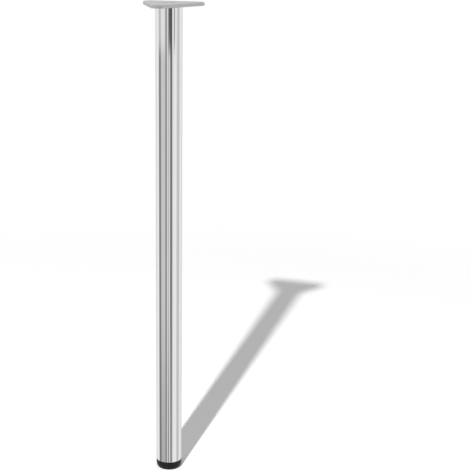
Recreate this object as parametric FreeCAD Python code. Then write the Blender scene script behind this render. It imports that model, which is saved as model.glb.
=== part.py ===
import FreeCAD, Part
import math
import os

# Height adjustable table leg, in millimetres.
# The origin is on the floor in the middle of the sole, and +Z runs up the tube.
# The foot is drawn screwed right in, which is the leg's shortest setting.

# Whole leg
overall_height = 1100.0

# Tube
tube_od = 60.0
tube_wall = 1.2
tube_edge_round = 0.8

# Mounting plate, pressed from sheet, a three-cornered plate with its rim turned down
plate_corners = 3
plate_first_corner_deg = 30.0
plate_reach = 79.0
plate_corner_radius = 19.0
plate_sheet = 2.0
plate_rim = 7.5
plate_inner_bend = 0.8
plate_edge_break = 0.3

# Wood screw holes in the plate's corners, countersunk from below
screw_circle_radius = 58.0
screw_hole = 5.5
screw_head = 9.0

# Dish in the middle of the plate, which keeps the bolt's end below the table top
dish_floor_radius = 13.0
dish_rim_radius = 16.0
dish_depth = 2.5

# Thread, nuts, washer and bolt heads
thread_od = 10.0
thread_lead_in = 0.9
nut_flats = 17.0
nut_height = 8.0
jam_nut_height = 5.0
head_height = 6.4
nut_corner_cut_deg = 30.0
washer_od = 20.0
washer_thickness = 2.0

# Clearances, all on the radius or on one face
thread_clearance = 0.05
bolt_clearance = 0.25
insert_bore_clearance = 0.4
pocket_clearance = 0.1
press_clearance = 0.05
seat_gap = 0.3

# Cup welded in the tube's top end, and the bolt through it
cup_sheet = 2.5
cup_skirt = 12.0
cup_edge = 3.0
draw_gap = 6.0
tube_bolt_tip_depth = 1.0

# Plug in the tube's bottom end
insert_recess = 1.0
insert_height = 30.0
insert_wall = 2.0
insert_floor = 3.0
insert_roof = 3.0
insert_hub_radius = 13.0
insert_web = 2.0
insert_web_count = 6
crush_rib_count = 12
crush_rib_width = 1.6
crush_rib_height = 0.6
insert_lead_in = 1.2

# Foot: travel of the screw, cap, and the glide disc snapped into its sole
foot_travel = 20.0
thread_spare = 7.5
stack_clearance = 1.0
cap_wall = 2.5
cap_floor = 2.5
cap_straight = 5.3
cap_base_inset = 5.1
cap_rim_break = 0.4
cap_boss_radius = 13.0
cap_web = 3.5
cap_rib_count = 6
cap_rib = 2.0
cap_rib_drop = 2.0
glide_margin = 4.4
glide_stand = 0.6
glide_recess = 2.2
glide_lip = 0.7
glide_snap = 0.8
glide_play = 0.3
glide_edge_break = 0.5
head_sink = 0.3

# Radii that follow from the sizes above
tube_radius = tube_od / 2
bore_radius = tube_radius - tube_wall
thread_radius = thread_od / 2
bolt_hole_radius = thread_radius + bolt_clearance
cap_base_radius = tube_radius - cap_base_inset
glide_radius = cap_base_radius - glide_margin

# Heights in the foot, from the floor up
cap_low = glide_stand
recess_top = cap_low + glide_recess
glide_top = recess_top - glide_play
head_low = recess_top + head_sink
head_top = head_low + head_height
cap_web_top = head_top + cap_web
washer_top = cap_web_top + washer_thickness
jam_nut_top = washer_top + jam_nut_height
insert_low = jam_nut_top + stack_clearance
tube_low = insert_low - insert_recess
cap_top = tube_low - seat_gap
cap_round_top = cap_top - cap_straight
insert_nut_low = insert_low + insert_floor
insert_nut_top = insert_nut_low + nut_height
insert_hub_top = insert_nut_top + pocket_clearance + insert_roof
foot_bolt_tip = insert_nut_top + foot_travel + thread_spare

# Heights at the plate, from the top down
plate_top = overall_height
plate_under = plate_top - plate_sheet
tube_top = plate_under
dish_floor = plate_top - dish_depth
dish_under = dish_floor - plate_sheet
plate_nut_low = dish_under - nut_height
cup_top = plate_nut_low - draw_gap
cup_under = cup_top - cup_sheet
tube_bolt_tip = plate_top - tube_bolt_tip_depth

Z = FreeCAD.Vector(0, 0, 1)
ORIGIN = FreeCAD.Vector(0, 0, 0)


def at(radius, height):
    """A point of a turned profile."""
    return FreeCAD.Vector(radius, 0, height)


def polar(radius, degrees, height=0.0):
    angle = math.radians(degrees)
    return FreeCAD.Vector(radius * math.cos(angle), radius * math.sin(angle), height)


def line(start, end):
    return Part.LineSegment(start, end).toShape()


def quarter_ellipse(start, corner, end):
    """Quarter ellipse from start to end, tangent to the lines through the corner point."""
    curve = Part.BSplineCurve()
    weights = [1.0, math.sqrt(0.5), 1.0]
    curve.buildFromPolesMultsKnots([start, corner, end], [3, 3], [0.0, 1.0], False, 2, weights)
    return curve.toShape()


def turned(edges):
    """Solid of revolution about the tube's axis from a closed profile."""
    face = Part.Face(Part.Wire(Part.__sortEdges__(edges)))
    return face.revolve(ORIGIN, Z, 360)


def turned_polygon(points):
    corners = points + points[:1]
    return turned([line(a, b) for a, b in zip(corners, corners[1:])])


def disc(radius, low, high):
    return Part.makeCylinder(radius, high - low, at(0, low))


def ring(outer, inner, low, high):
    return disc(outer, low, high).cut(disc(inner, low, high))


def round_edges(solid, radius, wanted):
    """Fillet the edges for which wanted(edge) is true."""
    edges = [edge for edge in solid.Edges if wanted(edge)]
    return solid.makeFillet(radius, edges)


def break_edges(solid, width, wanted):
    """Chamfer the edges for which wanted(edge) is true."""
    edges = [edge for edge in solid.Edges if wanted(edge)]
    return solid.makeChamfer(width, edges)


def circle_at(radius, height, tolerance=0.01):
    """Test for the round edge of that radius and height."""

    def wanted(edge):
        if not isinstance(edge.Curve, Part.Circle):
            return False
        same_radius = abs(edge.Curve.Radius - radius) < tolerance
        return same_radius and abs(edge.CenterOfMass.z - height) < tolerance

    return wanted


def flat_at(height, tolerance=0.01):
    """Test for any edge that lies at that height."""

    def wanted(edge):
        box = edge.BoundBox
        return abs(box.ZMin - height) < tolerance and abs(box.ZMax - height) < tolerance

    return wanted


def around(shape, count, first_deg=0.0):
    """Copies of a shape evenly round the tube's axis."""
    copies = []
    for index in range(count):
        copy = shape.copy()
        copy.rotate(ORIGIN, Z, first_deg + index * 360.0 / count)
        copies.append(copy)
    return copies


# Hexagon nuts and bolts


def hexagon(flats, low, high):
    corner_radius = flats / 2 / math.cos(math.radians(30))
    corners = [polar(corner_radius, 60 * index, low) for index in range(7)]
    face = Part.Face(Part.makePolygon(corners))
    return face.extrude(FreeCAD.Vector(0, 0, high - low))


def corner_cutter(flats, low, high, cut_low, cut_high):
    """Turned blank that takes the corners off a hexagon at its low or high face, or both."""
    outer = flats / 2 / math.cos(math.radians(30))
    drop = (outer - flats / 2) * math.tan(math.radians(nut_corner_cut_deg))
    points = [at(0, low)]
    points += [at(flats / 2, low), at(outer, low + drop)] if cut_low else [at(outer, low)]
    points += [at(outer, high - drop), at(flats / 2, high)] if cut_high else [at(outer, high)]
    points += [at(0, high)]
    return turned_polygon(points)


def hexagon_nut(low, height):
    high = low + height
    blank = hexagon(nut_flats, low, high).common(corner_cutter(nut_flats, low, high, True, True))
    return blank.cut(disc(thread_radius + thread_clearance, low, high))


def hexagon_bolt(head_under, tip):
    """Bolt standing on its head: the head below head_under, the threaded end up at tip."""
    head_bottom = head_under - head_height
    head = hexagon(nut_flats, head_bottom, head_under)
    head = head.common(corner_cutter(nut_flats, head_bottom, head_under, True, False))
    lead_start = tip - thread_lead_in
    shank = disc(thread_radius, head_under, lead_start)
    lead = Part.makeCone(thread_radius, thread_radius - thread_lead_in, thread_lead_in, at(0, lead_start))
    return head.fuse([shank, lead]).removeSplitter()


# Top of the leg


def plate_outline(corner_radius):
    """Three-cornered outline with round corners about fixed centres."""
    centre_radius = plate_reach - plate_corner_radius
    step = 360.0 / plate_corners
    edges = []
    ends = []
    for index in range(plate_corners):
        angle = plate_first_corner_deg + index * step
        centre = polar(centre_radius, angle)
        start = centre + polar(corner_radius, angle - step / 2)
        tip = centre + polar(corner_radius, angle)
        end = centre + polar(corner_radius, angle + step / 2)
        edges.append(Part.Arc(start, tip, end).toShape())
        ends.append((start, end))
    for index in range(plate_corners):
        edges.append(line(ends[index][1], ends[(index + 1) % plate_corners][0]))
    return Part.Wire(Part.__sortEdges__(edges))


def plate_blank(corner_radius, low, high):
    face = Part.Face(plate_outline(corner_radius))
    blank = face.extrude(FreeCAD.Vector(0, 0, high - low))
    blank.translate(at(0, low))
    return blank


def countersunk_hole():
    """Hole through the sheet that opens to a cone at the underside."""
    radius = screw_hole / 2
    head_radius = screw_head / 2
    cone_height = head_radius - radius
    hole = disc(radius, plate_under, plate_top)
    cone = Part.makeCone(head_radius, radius, cone_height, at(0, plate_under))
    return hole.fuse(cone)


def dish_wall_shift():
    """How much further out the dish's underside bends than its top side, for an even sheet."""
    slope = math.atan2(dish_depth, dish_rim_radius - dish_floor_radius)
    return plate_sheet * math.tan(slope / 2)


def mounting_plate():
    rim_low = plate_top - plate_rim
    plate = plate_blank(plate_corner_radius, rim_low, plate_top)
    plate = round_edges(plate, plate_inner_bend + plate_sheet, flat_at(plate_top))
    hollow = plate_blank(plate_corner_radius - plate_sheet, rim_low, plate_under)
    hollow = break_edges(hollow, plate_inner_bend, flat_at(plate_under))
    plate = break_edges(plate.cut(hollow), plate_edge_break, flat_at(rim_low))
    shift = dish_wall_shift()
    bulge = turned_polygon([
        at(0, dish_under),
        at(dish_floor_radius + shift, dish_under),
        at(dish_rim_radius + shift, plate_under),
        at(dish_rim_radius + shift, plate_under + plate_sheet / 2),
        at(0, plate_under + plate_sheet / 2),
    ])
    dish = Part.makeCone(dish_floor_radius, dish_rim_radius, dish_depth, at(0, dish_floor))
    plate = plate.fuse(bulge).removeSplitter().cut(dish)
    plate = plate.cut(disc(bolt_hole_radius, dish_under, dish_floor))
    screw = countersunk_hole()
    screw.translate(at(screw_circle_radius, 0))
    for hole in around(screw, plate_corners, plate_first_corner_deg):
        plate = plate.cut(hole)
    return plate


def plate_nut():
    return hexagon_nut(plate_nut_low, nut_height)


def tube_cup():
    """Cup pressed from sheet, its skirt down inside the tube and an even wall round its sloped edge."""
    outer = bore_radius - press_clearance
    low = cup_top - cup_skirt
    blank = break_edges(disc(outer, low, cup_top), cup_edge, circle_at(outer, cup_top))
    inner = outer - cup_sheet
    inner_edge = cup_edge - cup_sheet * (2 - math.sqrt(2))
    hollow = break_edges(disc(inner, low, cup_under), inner_edge, circle_at(inner, cup_under))
    return blank.cut(hollow).cut(disc(bolt_hole_radius, cup_under, cup_top))


def tube_bolt():
    return hexagon_bolt(cup_under, tube_bolt_tip)


def leg_tube():
    tube = ring(tube_radius, bore_radius, tube_low, tube_top)
    tube = round_edges(tube, tube_edge_round, circle_at(tube_radius, tube_low))
    return round_edges(tube, tube_edge_round, circle_at(tube_radius, tube_top))


# Bottom of the leg


def insert_shell():
    """Outer wall of the plug with its floor, chamfered where it enters the tube."""
    outer = bore_radius - press_clearance - crush_rib_height
    inner = outer - insert_wall
    top = insert_low + insert_height
    floor_top = insert_low + insert_floor
    return turned_polygon([
        at(0, insert_low),
        at(outer, insert_low),
        at(outer, top - insert_lead_in),
        at(outer - insert_lead_in, top),
        at(inner, top),
        at(inner, floor_top),
        at(0, floor_top),
    ])


def insert_web_blank(inner, outer):
    """One radial web of the plug, a little into the hub and the wall that it joins."""
    bite = insert_wall / 2
    length = outer - inner + 2 * bite
    height = insert_hub_top - insert_low
    return Part.makeBox(length, insert_web, height, FreeCAD.Vector(inner - bite, -insert_web / 2, insert_low))


def crush_rib_blank(wall_radius):
    """One upright rib outside the plug, which grips the tube."""
    top = insert_low + insert_height - insert_lead_in
    bite = insert_wall / 2
    corner = FreeCAD.Vector(wall_radius - bite, -crush_rib_width / 2, insert_low)
    rib = Part.makeBox(bite + 2 * crush_rib_height, crush_rib_width, top - insert_low, corner)
    return rib.common(disc(bore_radius - press_clearance, insert_low, top))


def foot_insert():
    wall_radius = bore_radius - press_clearance - crush_rib_height
    hub = disc(insert_hub_radius, insert_low, insert_hub_top)
    webs = around(insert_web_blank(insert_hub_radius, wall_radius - insert_wall), insert_web_count)
    ribs = around(crush_rib_blank(wall_radius), crush_rib_count, 180.0 / crush_rib_count)
    body = insert_shell().fuse([hub] + webs + ribs).removeSplitter()
    pocket = hexagon(nut_flats + 2 * pocket_clearance, insert_nut_low, insert_nut_top + pocket_clearance)
    bore = disc(thread_radius + insert_bore_clearance, insert_low, insert_hub_top)
    return body.cut(pocket).cut(bore)


def insert_nut():
    return hexagon_nut(insert_nut_low, nut_height)


def foot_bolt():
    return hexagon_bolt(head_top, foot_bolt_tip)


def cap_washer():
    return ring(washer_od / 2, bolt_hole_radius, cap_web_top, washer_top)


def jam_nut():
    return hexagon_nut(washer_top, jam_nut_height)


def cap_outside():
    """Cap blank: straight below the tube, then an elliptical round in to the flat sole."""
    sole_edge = at(cap_base_radius, cap_low)
    blank = turned([
        line(at(0, cap_low), sole_edge),
        quarter_ellipse(sole_edge, at(tube_radius, cap_low), at(tube_radius, cap_round_top)),
        line(at(tube_radius, cap_round_top), at(tube_radius, cap_top)),
        line(at(tube_radius, cap_top), at(0, cap_top)),
        line(at(0, cap_top), at(0, cap_low)),
    ])
    return break_edges(blank, cap_rim_break, circle_at(tube_radius, cap_top))


def cap_hollow():
    """Space inside the cap, open at the top, around the boss for the bolt."""
    floor_top = recess_top + cap_floor
    hollow = disc(tube_radius - cap_wall, floor_top, cap_top)
    return hollow.cut(disc(cap_boss_radius, floor_top, cap_web_top))


def cap_rib_blank():
    """One radial rib of the cap, from its boss into its wall."""
    bite = cap_rib / 4
    low = recess_top + cap_floor - bite
    high = cap_web_top - cap_rib_drop
    inner = cap_boss_radius - bite
    length = tube_radius - cap_wall + bite - inner
    return Part.makeBox(length, cap_rib, high - low, FreeCAD.Vector(inner, -cap_rib / 2, low))


def foot_cap():
    cap = cap_outside().cut(cap_hollow())
    cap = cap.fuse(around(cap_rib_blank(), cap_rib_count)).removeSplitter()
    lip_radius = glide_radius + glide_play
    groove_radius = lip_radius + glide_snap + glide_play
    cap = cap.cut(disc(lip_radius, cap_low, cap_low + glide_lip))
    cap = cap.cut(disc(groove_radius, cap_low + glide_lip, recess_top))
    cap = cap.cut(hexagon(nut_flats + 2 * pocket_clearance, recess_top, head_top))
    return cap.cut(disc(bolt_hole_radius, head_top, cap_web_top))


def glide_disc():
    """Sole disc with a thin flange that snaps above the cap's lip."""
    flange_radius = glide_radius + glide_play + glide_snap
    flange_low = cap_low + glide_lip + glide_play
    sole = disc(glide_radius, 0, flange_low)
    sole = break_edges(sole, glide_edge_break, circle_at(glide_radius, 0))
    return sole.fuse(disc(flange_radius, flange_low, glide_top)).removeSplitter()


PIECES = {
    "leg_tube": leg_tube,
    "mounting_plate": mounting_plate,
    "plate_nut": plate_nut,
    "tube_cup": tube_cup,
    "tube_bolt": tube_bolt,
    "foot_insert": foot_insert,
    "insert_nut": insert_nut,
    "foot_cap": foot_cap,
    "foot_bolt": foot_bolt,
    "cap_washer": cap_washer,
    "jam_nut": jam_nut,
    "glide_disc": glide_disc,
}

os.makedirs("parts", exist_ok=True)
for name, build in PIECES.items():
    shape = build()
    shape.exportStep("parts/" + name + ".step")
    print(name, "solids", len(shape.Solids), "valid", shape.isValid(), "volume", round(shape.Volume, 1))
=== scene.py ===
import math

import bmesh
import bpy
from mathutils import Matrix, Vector


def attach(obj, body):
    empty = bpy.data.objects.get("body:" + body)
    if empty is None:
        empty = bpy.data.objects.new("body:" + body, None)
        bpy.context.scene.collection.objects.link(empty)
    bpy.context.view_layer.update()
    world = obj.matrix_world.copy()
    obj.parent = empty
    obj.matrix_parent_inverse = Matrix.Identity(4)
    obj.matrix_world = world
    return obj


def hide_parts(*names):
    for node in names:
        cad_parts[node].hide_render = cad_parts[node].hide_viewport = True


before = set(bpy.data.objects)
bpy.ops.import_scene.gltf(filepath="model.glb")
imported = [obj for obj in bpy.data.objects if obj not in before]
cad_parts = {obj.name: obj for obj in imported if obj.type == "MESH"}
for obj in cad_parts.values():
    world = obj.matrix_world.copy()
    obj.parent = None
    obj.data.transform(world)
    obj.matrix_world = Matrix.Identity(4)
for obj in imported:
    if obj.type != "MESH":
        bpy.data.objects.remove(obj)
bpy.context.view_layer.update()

# Dressed model of the height adjustable table leg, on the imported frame.
# Lengths of pieces are written in millimetres, as in the part's source, and scaled by MM
# to the metres of the scene. Camera, floor and lamp are in metres.
MM = 0.001

# Tube
TUBE_RADIUS = 30.0
BORE_RADIUS = 28.8
TUBE_LOW = 20.0
TUBE_EDGE_ROUND = 0.8
BORE_EDGE_ROUND = 0.12
BORE_SEAM_LOW = 560.0
BORE_SEAM_HIGH = 561.0

# Mounting plate
PLATE_TOP = 1100.0
PLATE_UNDER = 1098.0
RIM_LOW = 1092.5
PLATE_CORNERS = 3
PLATE_STEP_DEG = 360.0 / PLATE_CORNERS
PLATE_FIRST_CORNER_DEG = 30.0
PLATE_REACH = 79.0
PLATE_CORNER_RADIUS = 19.0
SHEET = 2.0
PLATE_OUTER_BEND = 2.8
PLATE_INNER_BEND = 0.8
PLATE_EDGE_ROUND = 0.3
RIM_ZONE = 8.0
OUTLINE_ARC_STEPS = 48
OUTLINE_SIDE_STEPS = 24

# Dish in the plate's middle
DISH_FLOOR = 1097.5
DISH_UNDER = 1095.5
DISH_FLOOR_RADIUS = 13.0
DISH_RIM_RADIUS = 16.0
DISH_WALL_SHIFT = 0.7
DISH_TIGHT_BEND = 1.5
DISH_WIDE_BEND = 2.0
DISH_ZONE = 22.0
DISH_FAN_INSET = 10.0
DISH_HOLE_LOW_ROUND = 0.15
DISH_HOLE_TOP_ROUND = 0.25

# Screw holes in the plate, countersunk from below
SCREW_CIRCLE = 58.0
SCREW_HOLE_RADIUS = 2.75
SCREW_HEAD_RADIUS = 4.5
SCREW_HOLE_BREAK = 0.2
CUTTER_SPARE = 1.0

# Thread, nuts, washer and bolts
THREAD_RADIUS = 5.0
THREAD_PITCH = 1.5
THREAD_DEPTH = 0.9
THREAD_STEPS = 64
# Where along the pitch the root starts and ends, and the crest starts and ends
THREAD_SHARES = (0.0, 0.25, 0.5625, 0.6875)
THREAD_SPARE_TURNS = 2
THREAD_OVERLAP = 0.5
HOLE_RADIUS = 5.25
NUT_BORE = 5.05
NUT_BORE_BREAK = 0.5
NUT_FLATS = 17.0
NUT_FACE_INSET = 0.2
HEXAGON_STEP_DEG = 60.0
NUT_CONE_DEG = 30.0
NUT_CORNER_SHARE = 0.995
NUT_CONE_START = 0.05
HEAD_HEIGHT = 6.4
HEAD_CENTRE_INSET = 0.6
HEAD_TOP_INSET = 0.3
HEAD_TOP_BREAK = 0.1
WASHER_RADIUS = 10.0
WASHER_ROUND = 0.3
WASHER_HOLE_ROUND = 0.15
WASHER_SEAM = 0.2
WASHER_TOP = 15.0
JAM_NUT_TOP = 20.0
FOOT_BOLT_TIP = 59.5
TUBE_BOLT_HEAD_TOP = 1079.0
TUBE_BOLT_TIP = 1099.0

# Foot cap
CAP_LOW = 0.6
CAP_ROUND_TOP = 14.4
CAP_TOP = 19.7
CAP_BASE_RADIUS = 24.9
CAP_INNER_RADIUS = 27.5
CAP_BOSS_RADIUS = 13.0
CAP_FLOOR_TOP = 5.3
CAP_WEB_TOP = 13.0
CAP_SIDE_STEPS = 24
CAP_RIM_ROUND = 0.4
CAP_INNER_RIM_ROUND = 0.3
CAP_FLOOR_ROUND = 0.5
CAP_BOSS_ROUND = 0.4
CAP_HOLE_ROUND = 0.2
POCKET_FLATS = 17.2
HEAD_TOP = 9.5
RECESS_TOP = 2.8
GROOVE_RADIUS = 21.9
LIP_RADIUS = 20.8
LIP_TOP = 1.3
LIP_BREAK = 0.2

# Ribs inside the cap
CAP_RIB_COUNT = 6
CAP_RIB_HALF = 1.0
CAP_RIB_DROP = 2.0
CAP_RIB_BREAK = 0.3
CAP_RIB_INNER = 12.5
CAP_RIB_OUTER = 28.0
CAP_RIB_SINK = 0.5

# Glide disc
GLIDE_RADIUS = 20.5
GLIDE_EDGE_ROUND = 0.5
GLIDE_FLANGE_RADIUS = 21.6
GLIDE_FLANGE_LOW = 1.6
GLIDE_FLANGE_ROUND = 0.2
GLIDE_TOP = 2.5
GLIDE_CENTRE_ZONE = 16.0

# Mesh building, the distances in metres
SHARP_DEG = 32.0
WELD_DISTANCE = 1e-7
SLIVER_DISTANCE = 2e-6
CUT_DISTANCE = 1e-8
RIM_TOLERANCE = 1e-7


# Mesh helpers


def direction(degrees, length=1.0):
    angle = math.radians(degrees)
    return Vector((length * math.cos(angle), length * math.sin(angle), 0.0))


def upright(z):
    return Vector((0, 0, z))


def rounded(corners, steps=6, support=0.6, room=3):
    """Profile through (r, z, fillet) corners, each fillet an arc.

    A side that is long enough, by room, gets a support point just beyond the arc.
    """
    count = len(corners)
    points = []
    for index, (r, z, fillet) in enumerate(corners):
        here = Vector((r, z))
        if fillet <= 0 or index in (0, count - 1):
            points.append(here)
            continue
        before = Vector(corners[index - 1][:2]) - here
        after = Vector(corners[index + 1][:2]) - here
        half = before.angle(after) / 2
        reach = fillet / math.tan(half)
        middle = (before.normalized() + after.normalized()).normalized()
        centre = here + middle * (fillet / math.sin(half))
        start = here + before.normalized() * reach
        end = here + after.normalized() * reach
        first = math.atan2(start.y - centre.y, start.x - centre.x)
        turn = math.atan2(end.y - centre.y, end.x - centre.x) - first
        turn = (turn + math.pi) % (2 * math.pi) - math.pi
        if before.length > room * (reach + support):
            points.append(here + before.normalized() * (reach + support))
        for step in range(steps + 1):
            angle = first + turn * step / steps
            points.append(centre + Vector((math.cos(angle), math.sin(angle))) * fillet)
        if after.length > room * (reach + support):
            points.append(here + after.normalized() * (reach + support))
    return [(point.x, point.y) for point in points]


def object_from(name, bm):
    """Object of a mesh, welded, with its normals out and its sharp edges marked."""
    bmesh.ops.remove_doubles(bm, verts=bm.verts, dist=WELD_DISTANCE)
    bmesh.ops.recalc_face_normals(bm, faces=bm.faces)
    mesh = bpy.data.meshes.new(name)
    bm.to_mesh(mesh)
    bm.free()
    mesh.shade_smooth()
    mesh.set_sharp_from_angle(angle=math.radians(SHARP_DEG))
    made = bpy.data.objects.new(name, mesh)
    bpy.context.scene.collection.objects.link(made)
    return made


def add_rings(bm, rings, closed):
    """Skin over rings of points with equal counts; an open stack gets a cap at each end."""
    stacks = [[bm.verts.new(point) for point in ring] for ring in rings]
    pairs = list(zip(stacks, stacks[1:]))
    if closed:
        pairs.append((stacks[-1], stacks[0]))
    for one, other in pairs:
        for index in range(len(one)):
            following = (index + 1) % len(one)
            bm.faces.new((one[index], one[following], other[following], other[index]))
    if not closed:
        bm.faces.new(stacks[0])
        bm.faces.new(stacks[-1])


def lathe_rings(profile, segments):
    """Rings about the tube's axis; an entry is (r, z), or a function of the angle giving one."""
    rings = []
    for entry in profile:
        ring = []
        for index in range(segments):
            degrees = 360.0 * index / segments
            r, z = entry(degrees) if callable(entry) else entry
            ring.append((direction(degrees, r) + upright(z)) * MM)
        rings.append(ring)
    return rings


def turned(name, profile, segments, closed=True):
    bm = bmesh.new()
    add_rings(bm, lathe_rings(profile, segments), closed)
    return object_from(name, bm)


def hexagon_radius(degrees, flats):
    """Radius of a hexagon at an angle, with its corners just broken."""
    from_flat = degrees % HEXAGON_STEP_DEG - HEXAGON_STEP_DEG / 2
    plain = flats / 2 / math.cos(math.radians(from_flat))
    corner = flats / 2 / math.cos(math.radians(HEXAGON_STEP_DEG / 2))
    return min(plain, corner * NUT_CORNER_SHARE)


def hexagon_edge(flats, face, sign):
    """Edge of a hexagon's side where the corner cone meets it; sign +1 goes up from the face."""

    def edge(degrees):
        r = hexagon_radius(degrees, flats)
        rise = (r - flats / 2 + NUT_CONE_START) * math.tan(math.radians(NUT_CONE_DEG))
        return r, face + sign * rise

    return edge


def hexagon_plain(flats, z):
    return lambda degrees: (hexagon_radius(degrees, flats), z)


# Tube and mounting plate


def make_tube():
    profile = rounded([
        (BORE_RADIUS, BORE_SEAM_LOW, 0),
        (BORE_RADIUS, TUBE_LOW, BORE_EDGE_ROUND),
        (TUBE_RADIUS, TUBE_LOW, TUBE_EDGE_ROUND),
        (TUBE_RADIUS, PLATE_UNDER, TUBE_EDGE_ROUND),
        (BORE_RADIUS, PLATE_UNDER, BORE_EDGE_ROUND),
        (BORE_RADIUS, BORE_SEAM_HIGH, 0),
    ], steps=8)
    return turned("tube", profile, segments=360)


def outline_point(index, offset):
    """Point of the plate's three-cornered outline, pulled in by offset."""
    corner, step = divmod(index, OUTLINE_ARC_STEPS + OUTLINE_SIDE_STEPS)
    angle = PLATE_FIRST_CORNER_DEG + PLATE_STEP_DEG * corner
    centre = direction(angle, PLATE_REACH - PLATE_CORNER_RADIUS)
    radius = PLATE_CORNER_RADIUS - offset
    half = PLATE_STEP_DEG / 2
    if step <= OUTLINE_ARC_STEPS:
        along = PLATE_STEP_DEG * step / OUTLINE_ARC_STEPS
        return centre + direction(angle - half + along, radius)
    following = direction(angle + PLATE_STEP_DEG, PLATE_REACH - PLATE_CORNER_RADIUS)
    normal = direction(angle + half, radius)
    share = (step - OUTLINE_ARC_STEPS) / OUTLINE_SIDE_STEPS
    return centre.lerp(following, share) + normal


def outline_points(offset):
    count = PLATE_CORNERS * (OUTLINE_ARC_STEPS + OUTLINE_SIDE_STEPS)
    return [outline_point(index, offset) for index in range(count)]


def outline_ring(offset, z):
    """The plate's outline as a ring, pulled in by offset."""
    return [(point + upright(z)) * MM for point in outline_points(offset)]


def dish_ring(r, z):
    """Circle with as many points as the plate's outline, each towards one of the outline's."""
    towards = [point.normalized() for point in outline_points(DISH_FAN_INSET)]
    return [(point * r + upright(z)) * MM for point in towards]


def rings_between(one, other, steps=4):
    shares = [step / steps for step in range(1, steps)]
    return [[a.lerp(b, share) for a, b in zip(one, other)] for share in shares]


def make_plate():
    """Pressed plate: its rim's section, the flat to the dish, the dish, and the flat back."""
    rim = rounded([
        (-RIM_ZONE, PLATE_TOP, 0),
        (0.0, PLATE_TOP, PLATE_OUTER_BEND),
        (0.0, RIM_LOW, PLATE_EDGE_ROUND),
        (-SHEET, RIM_LOW, PLATE_EDGE_ROUND),
        (-SHEET, PLATE_UNDER, PLATE_INNER_BEND),
        (-RIM_ZONE, PLATE_UNDER, 0),
    ], steps=8)
    dish = rounded([
        (DISH_ZONE, PLATE_UNDER, 0),
        (DISH_RIM_RADIUS + DISH_WALL_SHIFT, PLATE_UNDER, DISH_TIGHT_BEND),
        (DISH_FLOOR_RADIUS + DISH_WALL_SHIFT, DISH_UNDER, DISH_WIDE_BEND),
        (HOLE_RADIUS, DISH_UNDER, DISH_HOLE_LOW_ROUND),
        (HOLE_RADIUS, DISH_FLOOR, DISH_HOLE_TOP_ROUND),
        (DISH_FLOOR_RADIUS, DISH_FLOOR, DISH_TIGHT_BEND),
        (DISH_RIM_RADIUS, PLATE_TOP, DISH_WIDE_BEND),
        (DISH_ZONE, PLATE_TOP, 0),
    ], steps=5)
    rim_rings = [outline_ring(-offset, z) for offset, z in rim]
    dish_rings = [dish_ring(r, z) for r, z in dish]
    rings = rim_rings + rings_between(rim_rings[-1], dish_rings[0])
    rings += dish_rings + rings_between(dish_rings[-1], rim_rings[0])
    bm = bmesh.new()
    add_rings(bm, rings, True)
    plate = object_from("plate", bm)
    for index in range(PLATE_CORNERS):
        angle = PLATE_FIRST_CORNER_DEG + PLATE_STEP_DEG * index
        cut_screw_hole(plate, direction(angle, SCREW_CIRCLE) * MM)
    merge_slivers(plate.data)
    plate.data.set_sharp_from_angle(angle=math.radians(SHARP_DEG))
    return plate


def merge_slivers(mesh):
    """Merges points that the cuts leave almost on each other, and splits faces of many corners."""
    bm = bmesh.new()
    bm.from_mesh(mesh)
    bmesh.ops.remove_doubles(bm, verts=bm.verts, dist=SLIVER_DISTANCE)
    bmesh.ops.dissolve_degenerate(bm, edges=bm.edges, dist=SLIVER_DISTANCE)
    many = [face for face in bm.faces if len(face.verts) > 4]
    bmesh.ops.triangulate(bm, faces=many, quad_method="BEAUTY", ngon_method="BEAUTY")
    bm.to_mesh(mesh)
    bm.free()


def cut_screw_hole(plate, place):
    """Screw hole through the sheet, countersunk from below and just broken at the top."""
    cone_height = SCREW_HEAD_RADIUS - SCREW_HOLE_RADIUS
    profile = [
        (SCREW_HEAD_RADIUS + CUTTER_SPARE, PLATE_UNDER - CUTTER_SPARE),
        (SCREW_HOLE_RADIUS, PLATE_UNDER + cone_height),
        (SCREW_HOLE_RADIUS, PLATE_TOP - SCREW_HOLE_BREAK),
        (SCREW_HOLE_RADIUS + 2 * SCREW_HOLE_BREAK, PLATE_TOP + SCREW_HOLE_BREAK),
    ]
    bm = bmesh.new()
    rings = lathe_rings(profile, segments=64)
    rings = [[point + place for point in ring] for ring in rings]
    add_rings(bm, rings, False)
    cutter = object_from("cutter", bm)
    hole = plate.modifiers.new("hole", "BOOLEAN")
    hole.operation = "DIFFERENCE"
    hole.solver = "EXACT"
    hole.object = cutter
    graph = bpy.context.evaluated_depsgraph_get()
    mesh = bpy.data.meshes.new_from_object(plate.evaluated_get(graph))
    plate.modifiers.clear()
    plate.data = mesh
    bpy.data.objects.remove(cutter)


# Foot cap


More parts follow.
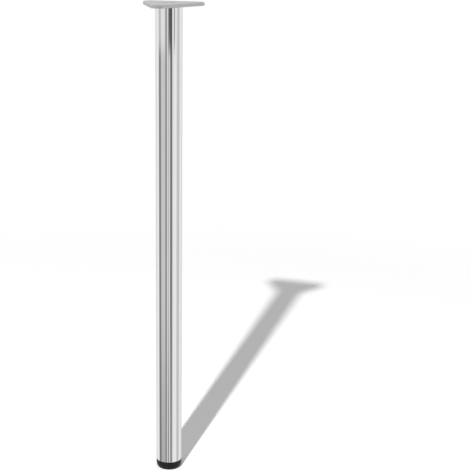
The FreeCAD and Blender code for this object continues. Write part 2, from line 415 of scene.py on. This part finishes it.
def make_cap():
    side = []
    for step in range(CAP_SIDE_STEPS + 1):
        angle = math.pi / 2 * step / CAP_SIDE_STEPS
        r = CAP_BASE_RADIUS + (TUBE_RADIUS - CAP_BASE_RADIUS) * math.sin(angle)
        z = CAP_ROUND_TOP - (CAP_ROUND_TOP - CAP_LOW) * math.cos(angle)
        side.append((r, z))
    inside = rounded([
        (TUBE_RADIUS, CAP_ROUND_TOP, 0),
        (TUBE_RADIUS, CAP_TOP, CAP_RIM_ROUND),
        (CAP_INNER_RADIUS, CAP_TOP, CAP_INNER_RIM_ROUND),
        (CAP_INNER_RADIUS, CAP_FLOOR_TOP, CAP_FLOOR_ROUND),
        (CAP_BOSS_RADIUS, CAP_FLOOR_TOP, CAP_FLOOR_ROUND),
        (CAP_BOSS_RADIUS, CAP_WEB_TOP, CAP_BOSS_ROUND),
        (HOLE_RADIUS, CAP_WEB_TOP, CAP_HOLE_ROUND),
        (HOLE_RADIUS, HEAD_TOP, 0),
    ])
    pocket = [hexagon_plain(POCKET_FLATS, HEAD_TOP), hexagon_plain(POCKET_FLATS, RECESS_TOP)]
    sole = [
        (GROOVE_RADIUS, RECESS_TOP),
        (GROOVE_RADIUS, LIP_TOP),
        (LIP_RADIUS, LIP_TOP),
        (LIP_RADIUS, CAP_LOW + LIP_BREAK),
        (LIP_RADIUS + LIP_BREAK, CAP_LOW),
    ]
    bm = bmesh.new()
    profile = side + inside[1:] + pocket + sole
    add_rings(bm, lathe_rings(profile, segments=240), True)
    for index in range(CAP_RIB_COUNT):
        add_cap_rib(bm, 360 / CAP_RIB_COUNT * index)
    return object_from("cap", bm)


def add_cap_rib(bm, degrees):
    """Radial rib inside the cap, from its boss into its wall, with its top edges broken."""
    low, high = CAP_FLOOR_TOP - CAP_RIB_SINK, CAP_WEB_TOP - CAP_RIB_DROP
    half, cut = CAP_RIB_HALF, CAP_RIB_BREAK
    section = [(-half, low), (half, low), (half, high - cut), (half - cut, high),
               (cut - half, high), (-half, high - cut)]
    along, across = direction(degrees), direction(degrees + 90)
    ends = []
    for reach in (CAP_RIB_INNER, CAP_RIB_OUTER):
        ends.append([(along * reach + across * side + upright(z)) * MM for side, z in section])
    add_rings(bm, ends, False)


# Bolts, jam nut, washer and glide disc


def thread_rows(low, high):
    """Rows of points up the thread's section, all along it, from below low to above high."""
    root = THREAD_RADIUS - THREAD_DEPTH
    section = list(zip(THREAD_SHARES, (root, root, THREAD_RADIUS, THREAD_RADIUS)))
    turns = int((high - low) / THREAD_PITCH) + 2 * THREAD_SPARE_TURNS
    rows = []
    for step in range(turns * THREAD_STEPS):
        turned_by = step / THREAD_STEPS
        row = []
        for share, r in section:
            z = low + THREAD_PITCH * (turned_by + share - THREAD_SPARE_TURNS)
            r = min(r, root + high - z)
            row.append((direction(360.0 * turned_by, r) + upright(z)) * MM)
        rows.append(row)
    return rows


def cut_flat(bm, z, side):
    """Cuts a skin off level at a height and closes it; side +1 drops what is above."""
    geometry = bm.verts[:] + bm.edges[:] + bm.faces[:]
    place, normal = upright(z * MM), upright(side)
    bmesh.ops.bisect_plane(
        bm, geom=geometry, dist=CUT_DISTANCE, plane_co=place, plane_no=normal, clear_outer=True)
    rim = [edge for edge in bm.edges if edge.is_boundary]
    rim = [edge for edge in rim
           if all(abs(vert.co.z - place.z) < RIM_TOLERANCE for vert in edge.verts)]
    bmesh.ops.edgeloop_fill(bm, edges=rim)


def add_thread(bm, low, high):
    """Closed solid of an M10 thread between two heights, with its lead-in cone at the top."""
    thread = bmesh.new()
    verts = [[thread.verts.new(point) for point in row] for row in thread_rows(low, high)]
    last = len(verts[0]) - 1
    for step in range(len(verts) - 1):
        here, following = verts[step], verts[step + 1]
        for k in range(last):
            thread.faces.new((here[k], following[k], following[k + 1], here[k + 1]))
        if step + THREAD_STEPS + 1 < len(verts):
            above = verts[step + THREAD_STEPS][0]
            above_following = verts[step + THREAD_STEPS + 1][0]
            thread.faces.new((here[last], following[last], above_following, above))
    cut_flat(thread, low, -1)
    cut_flat(thread, high, 1)
    mesh = bpy.data.meshes.new("thread")
    thread.to_mesh(mesh)
    thread.free()
    bm.from_mesh(mesh)
    bpy.data.meshes.remove(mesh)


def make_bolt(name, head_top, tip):
    """Hexagon bolt threaded up to its tip, standing on its head."""
    head_low = head_top - HEAD_HEIGHT
    half = NUT_FLATS / 2
    head = [
        (half - HEAD_CENTRE_INSET, head_low),
        (half - NUT_FACE_INSET, head_low),
        hexagon_edge(NUT_FLATS, head_low, 1),
        hexagon_plain(NUT_FLATS, head_top - HEAD_TOP_BREAK),
        (half - HEAD_TOP_INSET, head_top),
    ]
    bm = bmesh.new()
    add_rings(bm, lathe_rings(head, segments=96), False)
    add_thread(bm, head_top - THREAD_OVERLAP, tip)
    return object_from(name, bm)


def make_jam_nut():
    half = NUT_FLATS / 2
    profile = [
        (NUT_BORE, WASHER_TOP + NUT_BORE_BREAK),
        (NUT_BORE + NUT_BORE_BREAK, WASHER_TOP),
        (half - NUT_FACE_INSET, WASHER_TOP),
        hexagon_edge(NUT_FLATS, WASHER_TOP, 1),
        hexagon_edge(NUT_FLATS, JAM_NUT_TOP, -1),
        (half - NUT_FACE_INSET, JAM_NUT_TOP),
        (NUT_BORE + NUT_BORE_BREAK, JAM_NUT_TOP),
        (NUT_BORE, JAM_NUT_TOP - NUT_BORE_BREAK),
    ]
    return turned("nut_on_cap", profile, segments=96)


def make_washer():
    seam = (CAP_WEB_TOP + WASHER_TOP) / 2
    profile = rounded([
        (HOLE_RADIUS, seam, 0),
        (HOLE_RADIUS, CAP_WEB_TOP, WASHER_HOLE_ROUND),
        (WASHER_RADIUS, CAP_WEB_TOP, WASHER_ROUND),
        (WASHER_RADIUS, WASHER_TOP, WASHER_ROUND),
        (HOLE_RADIUS, WASHER_TOP, WASHER_HOLE_ROUND),
        (HOLE_RADIUS, seam + WASHER_SEAM, 0),
    ], steps=3)
    return turned("washer_on_cap", profile, segments=128)


def make_glide():
    profile = rounded([
        (GLIDE_CENTRE_ZONE, 0.0, 0),
        (GLIDE_RADIUS, 0.0, GLIDE_EDGE_ROUND),
        (GLIDE_RADIUS, GLIDE_FLANGE_LOW, 0),
        (GLIDE_FLANGE_RADIUS, GLIDE_FLANGE_LOW, GLIDE_FLANGE_ROUND),
        (GLIDE_FLANGE_RADIUS, GLIDE_TOP, GLIDE_FLANGE_ROUND),
        (GLIDE_CENTRE_ZONE, GLIDE_TOP, 0),
    ], steps=4)
    return turned("glide", profile, segments=192, closed=False)


# Materials

# Sockets of a Mix node that mixes colours, which share their names with its other sockets
MIX_FACTOR, MIX_A, MIX_B, MIX_RESULT = 0, 6, 7, 2

# How much larger than the surface's grain the patches of colour and of wear are, and the
# range of the noise that takes the roughness from one end to the other
COLOUR_PATCH = 12
WEAR_PATCH = 5
WEAR_RANGE = (0.3, 0.7)


class Nodes:
    """Short way to build a node tree."""

    def __init__(self, tree):
        self.tree = tree
        tree.nodes.clear()

    def add(self, kind, **values):
        node = self.tree.nodes.new(kind)
        for name, value in values.items():
            setattr(node, name, value)
        return node

    def link(self, source, target):
        self.tree.links.new(source, target)

    def feed(self, node, values):
        """Links or sets a node's inputs, from the first on."""
        for socket, value in zip(node.inputs, values):
            if isinstance(value, bpy.types.NodeSocket):
                self.link(value, socket)
            else:
                socket.default_value = value

    def math(self, operation, *values):
        node = self.add("ShaderNodeMath", operation=operation)
        self.feed(node, values)
        return node.outputs[0]

    def remap(self, value, low, high, to_low, to_high, kind="LINEAR"):
        node = self.add("ShaderNodeMapRange", interpolation_type=kind)
        self.feed(node, (value, low, high, to_low, to_high))
        return node.outputs[0]

    def ramp(self, value, low, high, to_low=0.0, to_high=1.0):
        return self.remap(value, low, high, to_low, to_high, "SMOOTHSTEP")

    def dot(self, source, vector):
        node = self.add("ShaderNodeVectorMath", operation="DOT_PRODUCT")
        self.feed(node, (source, vector))
        return node.outputs["Value"]

    def noise(self, scale, stretch, detail):
        place = self.add("ShaderNodeTexCoord")
        mapping = self.add("ShaderNodeMapping")
        mapping.inputs["Scale"].default_value = stretch
        texture = self.add("ShaderNodeTexNoise")
        texture.inputs["Scale"].default_value = scale
        texture.inputs["Detail"].default_value = detail
        self.link(place.outputs["Object"], mapping.inputs["Vector"])
        self.link(mapping.outputs[0], texture.inputs["Vector"])
        return texture.outputs["Fac"]


def finish(name, dark, light, roughness, metallic, grain, bump,
           specular=0.5, stretch=(1, 1, 1)):
    """Material whose colour, roughness and surface vary a little.

    dark and light are the ends of its colour, roughness is from and to, grain is the scale of
    the surface's noise, bump its strength and height in metres, stretch its shape along x, y, z.
    """
    material = bpy.data.materials.new(name)
    material.use_nodes = True
    nodes = Nodes(material.node_tree)
    shader = nodes.add("ShaderNodeBsdfPrincipled")
    output = nodes.add("ShaderNodeOutputMaterial")
    nodes.link(shader.outputs[0], output.inputs["Surface"])
    shader.inputs["Metallic"].default_value = metallic
    shader.inputs["Specular IOR Level"].default_value = specular
    colour = nodes.add("ShaderNodeMix", data_type="RGBA")
    colour.inputs[MIX_A].default_value = (*dark, 1.0)
    colour.inputs[MIX_B].default_value = (*light, 1.0)
    patches = nodes.noise(grain / COLOUR_PATCH, stretch, detail=4.0)
    nodes.link(patches, colour.inputs[MIX_FACTOR])
    nodes.link(colour.outputs[MIX_RESULT], shader.inputs["Base Color"])
    wear = nodes.noise(grain / WEAR_PATCH, stretch, detail=5.0)
    nodes.link(nodes.remap(wear, *WEAR_RANGE, *roughness), shader.inputs["Roughness"])
    surface = nodes.add("ShaderNodeBump")
    surface.inputs["Strength"].default_value = bump[0]
    surface.inputs["Distance"].default_value = bump[1]
    nodes.link(nodes.noise(grain, stretch, detail=2.0), surface.inputs["Height"])
    nodes.link(surface.outputs["Normal"], shader.inputs["Normal"])
    return material


def grey(value):
    return value, value, value


CHROME = finish(
    "chrome", dark=grey(0.77), light=grey(0.81), roughness=(0.035, 0.06), metallic=1.0,
    grain=700.0, bump=(0.02, 0.00002), stretch=(1, 1, 0.25))
NICKEL = finish(
    "satin_nickel", dark=grey(0.50), light=grey(0.56), roughness=(0.46, 0.56), metallic=0.85,
    grain=1600.0, bump=(0.15, 0.00003))
ZINC = finish(
    "bright_zinc", dark=(0.58, 0.59, 0.60), light=(0.66, 0.67, 0.68), roughness=(0.22, 0.38),
    metallic=1.0, grain=1200.0, bump=(0.2, 0.00003))
CAP_PLASTIC = finish(
    "satin_black", dark=grey(0.008), light=grey(0.012), roughness=(0.40, 0.52), metallic=0.0,
    grain=2200.0, bump=(0.25, 0.00004), specular=0.18)
INSERT_PLASTIC = finish(
    "black_nylon", dark=grey(0.022), light=grey(0.032), roughness=(0.48, 0.62), metallic=0.0,
    grain=1800.0, bump=(0.3, 0.00005), specular=0.35)
GLIDE_PLASTIC = finish(
    "dull_black", dark=grey(0.04), light=grey(0.055), roughness=(0.55, 0.7), metallic=0.0,
    grain=2400.0, bump=(0.35, 0.00005), specular=0.35)


def coat(piece, material):
    piece.data.materials.clear()
    piece.data.materials.append(material)


def dress(piece, material, slot, body, *nodes):
    """Gives a piece its finish and puts it on its body, in place of the solids it stands for."""
    coat(piece, material)
    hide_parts(*nodes)
    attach(piece, body)


dress(make_tube(), CHROME, "chromed_tube", "leg", "leg_tube")
dress(make_plate(), NICKEL, "plate_steel", "leg", "mounting_plate")
dress(
    make_bolt("bolt_in_tube", TUBE_BOLT_HEAD_TOP, TUBE_BOLT_TIP),
    ZINC, "zinc_fasteners", "leg", "tube_bolt")
dress(make_cap(), CAP_PLASTIC, "cap_plastic", "screw_foot", "foot_cap")
dress(
    make_bolt("screw_of_foot", HEAD_TOP, FOOT_BOLT_TIP),
    ZINC, "zinc_fasteners", "screw_foot", "foot_bolt")
dress(make_washer(), ZINC, "zinc_fasteners", "screw_foot", "cap_washer")
dress(make_jam_nut(), ZINC, "zinc_fasteners", "screw_foot", "jam_nut")
dress(make_glide(), GLIDE_PLASTIC, "glide_plastic", "glide", "glide_disc")

# Nodes that keep their CAD mesh and only get a finish
KEPT = {"plate_nut": ZINC, "tube_cup": ZINC, "insert_nut": ZINC, "foot_insert": INSERT_PLASTIC}
for node_name, material in KEPT.items():
    coat(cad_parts[node_name], material)


# Camera, in metres, degrees and pixels of the photo's frame

CAMERA_TURN = 20.0
CAMERA_DISTANCE = 2.70
CAMERA_HEIGHT = 1.306
CAMERA_PITCH = 15.151
FOCAL_PIXELS = 1221.0
AXIS_PIXEL = 168.95
FRAME_PIXELS = 470.0
SENSOR = 36.0


def camera_axes():
    turn, pitch = math.radians(CAMERA_TURN), math.radians(CAMERA_PITCH)
    right = Vector((math.cos(turn), math.sin(turn), 0))
    ahead = Vector((-math.sin(turn), math.cos(turn), 0))
    forward = ahead * math.cos(pitch) - upright(math.sin(pitch))
    return right, ahead, forward


def make_camera():
    _, ahead, forward = camera_axes()
    data = bpy.data.cameras.new("camera")
    data.sensor_width = SENSOR
    data.lens = FOCAL_PIXELS * SENSOR / FRAME_PIXELS
    data.shift_x = (FRAME_PIXELS / 2 - AXIS_PIXEL) / FRAME_PIXELS
    camera = bpy.data.objects.new("camera", data)
    bpy.context.scene.collection.objects.link(camera)
    camera.location = upright(CAMERA_HEIGHT) - ahead * CAMERA_DISTANCE
    camera.rotation_mode = "QUATERNION"
    camera.rotation_quaternion = forward.to_track_quat("-Z", "Y")
    bpy.context.scene.camera = camera


# Floor, lamp and the studio that the chrome shows

FLOOR_HALF_SIZE = 60.0
FLOOR_TINT = 0.97
FLOOR_FADE_FROM = 1.45
FLOOR_FADE_TO = 2.4
SHADE_LEVEL = 0.465
LAMP_LEVEL = 0.95
LAMP_RIGHT = -1.16
LAMP_BACK = -3.77
LAMP_HEIGHT = 4.0
LAMP_RADIUS = 0.07


def make_floor():
    """Pale floor that keeps the shadow, goes over to plain white well away from the leg,
    and can be seen through from below."""
    bm = bmesh.new()
    bmesh.ops.create_grid(bm, x_segments=8, y_segments=8, size=FLOOR_HALF_SIZE)
    floor = object_from("floor", bm)
    material = bpy.data.materials.new("floor")
    material.use_nodes = True
    nodes = Nodes(material.node_tree)
    pale = nodes.add("ShaderNodeBsdfDiffuse")
    pale.inputs["Color"].default_value = (*grey(FLOOR_TINT), 1)
    white = nodes.add("ShaderNodeEmission")
    away = nodes.add("ShaderNodeVectorMath", operation="LENGTH")
    nodes.link(nodes.add("ShaderNodeTexCoord").outputs["Object"], away.inputs[0])
    far = nodes.ramp(away.outputs["Value"], FLOOR_FADE_FROM, FLOOR_FADE_TO)
    seen = nodes.add("ShaderNodeLightPath").outputs["Is Camera Ray"]
    blend = nodes.add("ShaderNodeMixShader")
    nodes.link(nodes.math("MULTIPLY", far, seen), blend.inputs[0])
    nodes.link(pale.outputs[0], blend.inputs[1])
    nodes.link(white.outputs[0], blend.inputs[2])
    below = nodes.add("ShaderNodeMixShader")
    nodes.link(nodes.add("ShaderNodeNewGeometry").outputs["Backfacing"], below.inputs[0])
    nodes.link(blend.outputs[0], below.inputs[1])
    nodes.link(nodes.add("ShaderNodeBsdfTransparent").outputs[0], below.inputs[2])
    output = nodes.add("ShaderNodeOutputMaterial")
    nodes.link(below.outputs[0], output.inputs["Surface"])
    floor.data.materials.append(material)
    floor.visible_glossy = False
    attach(floor, "glide")


def make_lamp():
    """Small lamp at the front left that throws the leg's shadow, as bright near as far."""
    right, ahead, _ = camera_axes()
    light = bpy.data.lights.new("lamp", "POINT")
    light.shadow_soft_size = LAMP_RADIUS
    light.use_nodes = True
    nodes = Nodes(light.node_tree)
    # A white surface that faces the lamp shows LAMP_LEVEL, however far from it
    even = nodes.add("ShaderNodeLightFalloff")
    even.inputs["Strength"].default_value = LAMP_LEVEL * 4 * math.pi ** 2
    glow = nodes.add("ShaderNodeEmission")
    output = nodes.add("ShaderNodeOutputLight")
    nodes.link(even.outputs["Constant"], glow.inputs["Strength"])
    nodes.link(glow.outputs[0], output.inputs["Surface"])
    light.energy = 1.0
    lamp = bpy.data.objects.new("lamp", light)
    bpy.context.scene.collection.objects.link(lamp)
    lamp.location = right * LAMP_RIGHT + ahead * LAMP_BACK + upright(LAMP_HEIGHT)
    lamp.visible_glossy = False


# Dark cards of the studio, as the chrome sees them. Each has the middle of its turn from the
# camera's side in degrees, its half width and the softness of its edge, and how light it
# shows in rays that run nearly level, in rays that go down, and in those that go steeply down.
CARDS = [
    (-84.5, 11.5, 6.0, 0.62, 0.27, 0.24),
    (-54.5, 22.0, 8.0, 0.92, 0.70, 0.52),
    (-24.0, 9.0, 5.0, 0.42, 0.36, 0.34),
    (-4.0, 4.5, 4.0, 0.36, 0.56, 0.22),
    (4.5, 4.5, 3.0, 0.12, 0.92, 0.90),
    (13.4, 4.6, 3.0, 0.10, 0.28, 0.42),
    (22.0, 4.6, 3.0, 0.06, 0.15, 0.26),
    (32.0, 5.5, 5.0, 0.86, 0.76, 0.76),
    (47.5, 5.5, 5.0, 0.42, 1.0, 1.0),
    (87.0, 16.0, 16.0, 0.68, 0.66, 0.66),
    (137.0, 5.0, 5.0, 0.84, 0.80, 0.76),
    (156.0, 6.0, 4.0, 0.50, 0.52, 0.54),
    (176.0, 4.0, 4.0, 0.70, 0.66, 0.62),
    (-160.0, 8.0, 6.0, 0.74, 0.72, 0.70),
    (-143.0, 4.0, 4.0, 0.62, 0.58, 0.54),
]

# How far a ray drops in each metre where it starts and ends to count as going down, as going
# steeply down and as rising
DOWN_DROP = (0.104, 0.122)
STEEP_DROP = (0.30, 0.43)
RISING_DROP = (0.0, -0.06)

# Cards further round than this stay white in rays that rise, so that the plate's top is pale
REAR_TURN = 120.0


def make_world():
    """Studio of even shade for matt surfaces, of cards for gloss, and white for the camera."""
    right, ahead, _ = camera_axes()
    world = bpy.data.worlds.new("studio")
    bpy.context.scene.world = world
    world.use_nodes = True
    nodes = Nodes(world.node_tree)
    ray = nodes.add("ShaderNodeTexCoord").outputs["Generated"]
    turn = nodes.math("ARCTAN2", nodes.dot(ray, right), nodes.dot(ray, -ahead))
    turn = nodes.math("DEGREES", turn)
    drop = nodes.math("MULTIPLY", nodes.dot(ray, (0, 0, 1)), -1.0)
    down = nodes.ramp(drop, *DOWN_DROP)
    steeply = nodes.ramp(drop, *STEEP_DROP)
    rising = nodes.ramp(drop, *RISING_DROP)
    shown = None
    for middle, half, soft, level, falling, steep in CARDS:
        apart = nodes.math("ABSOLUTE", nodes.math("SUBTRACT", turn, middle))
        shade = nodes.remap(down, 0.0, 1.0, level, falling)
        shade = nodes.remap(steeply, 0.0, 1.0, shade, steep)
        if abs(middle) > REAR_TURN:
            shade = nodes.remap(rising, 0.0, 1.0, shade, 1.0)
        card = nodes.ramp(apart, half - soft / 2, half + soft / 2, shade, 1.0)
        shown = card if shown is None else nodes.math("MULTIPLY", shown, card)
    path = nodes.add("ShaderNodeLightPath")
    glossy = nodes.add("ShaderNodeMix", data_type="FLOAT")
    glossy.inputs["A"].default_value = SHADE_LEVEL
    nodes.link(path.outputs["Is Glossy Ray"], glossy.inputs["Factor"])
    nodes.link(shown, glossy.inputs["B"])
    seen = nodes.add("ShaderNodeMix", data_type="FLOAT")
    seen.inputs["B"].default_value = 1.0
    nodes.link(path.outputs["Is Camera Ray"], seen.inputs["Factor"])
    nodes.link(glossy.outputs["Result"], seen.inputs["A"])
    background = nodes.add("ShaderNodeBackground")
    output = nodes.add("ShaderNodeOutputWorld")
    nodes.link(seen.outputs["Result"], background.inputs["Strength"])
    background.inputs["Color"].default_value = (1, 1, 1, 1)
    nodes.link(background.outputs[0], output.inputs["Surface"])


make_camera()
make_floor()
make_lamp()
make_world()

bpy.context.scene.view_settings.view_transform = "Standard"
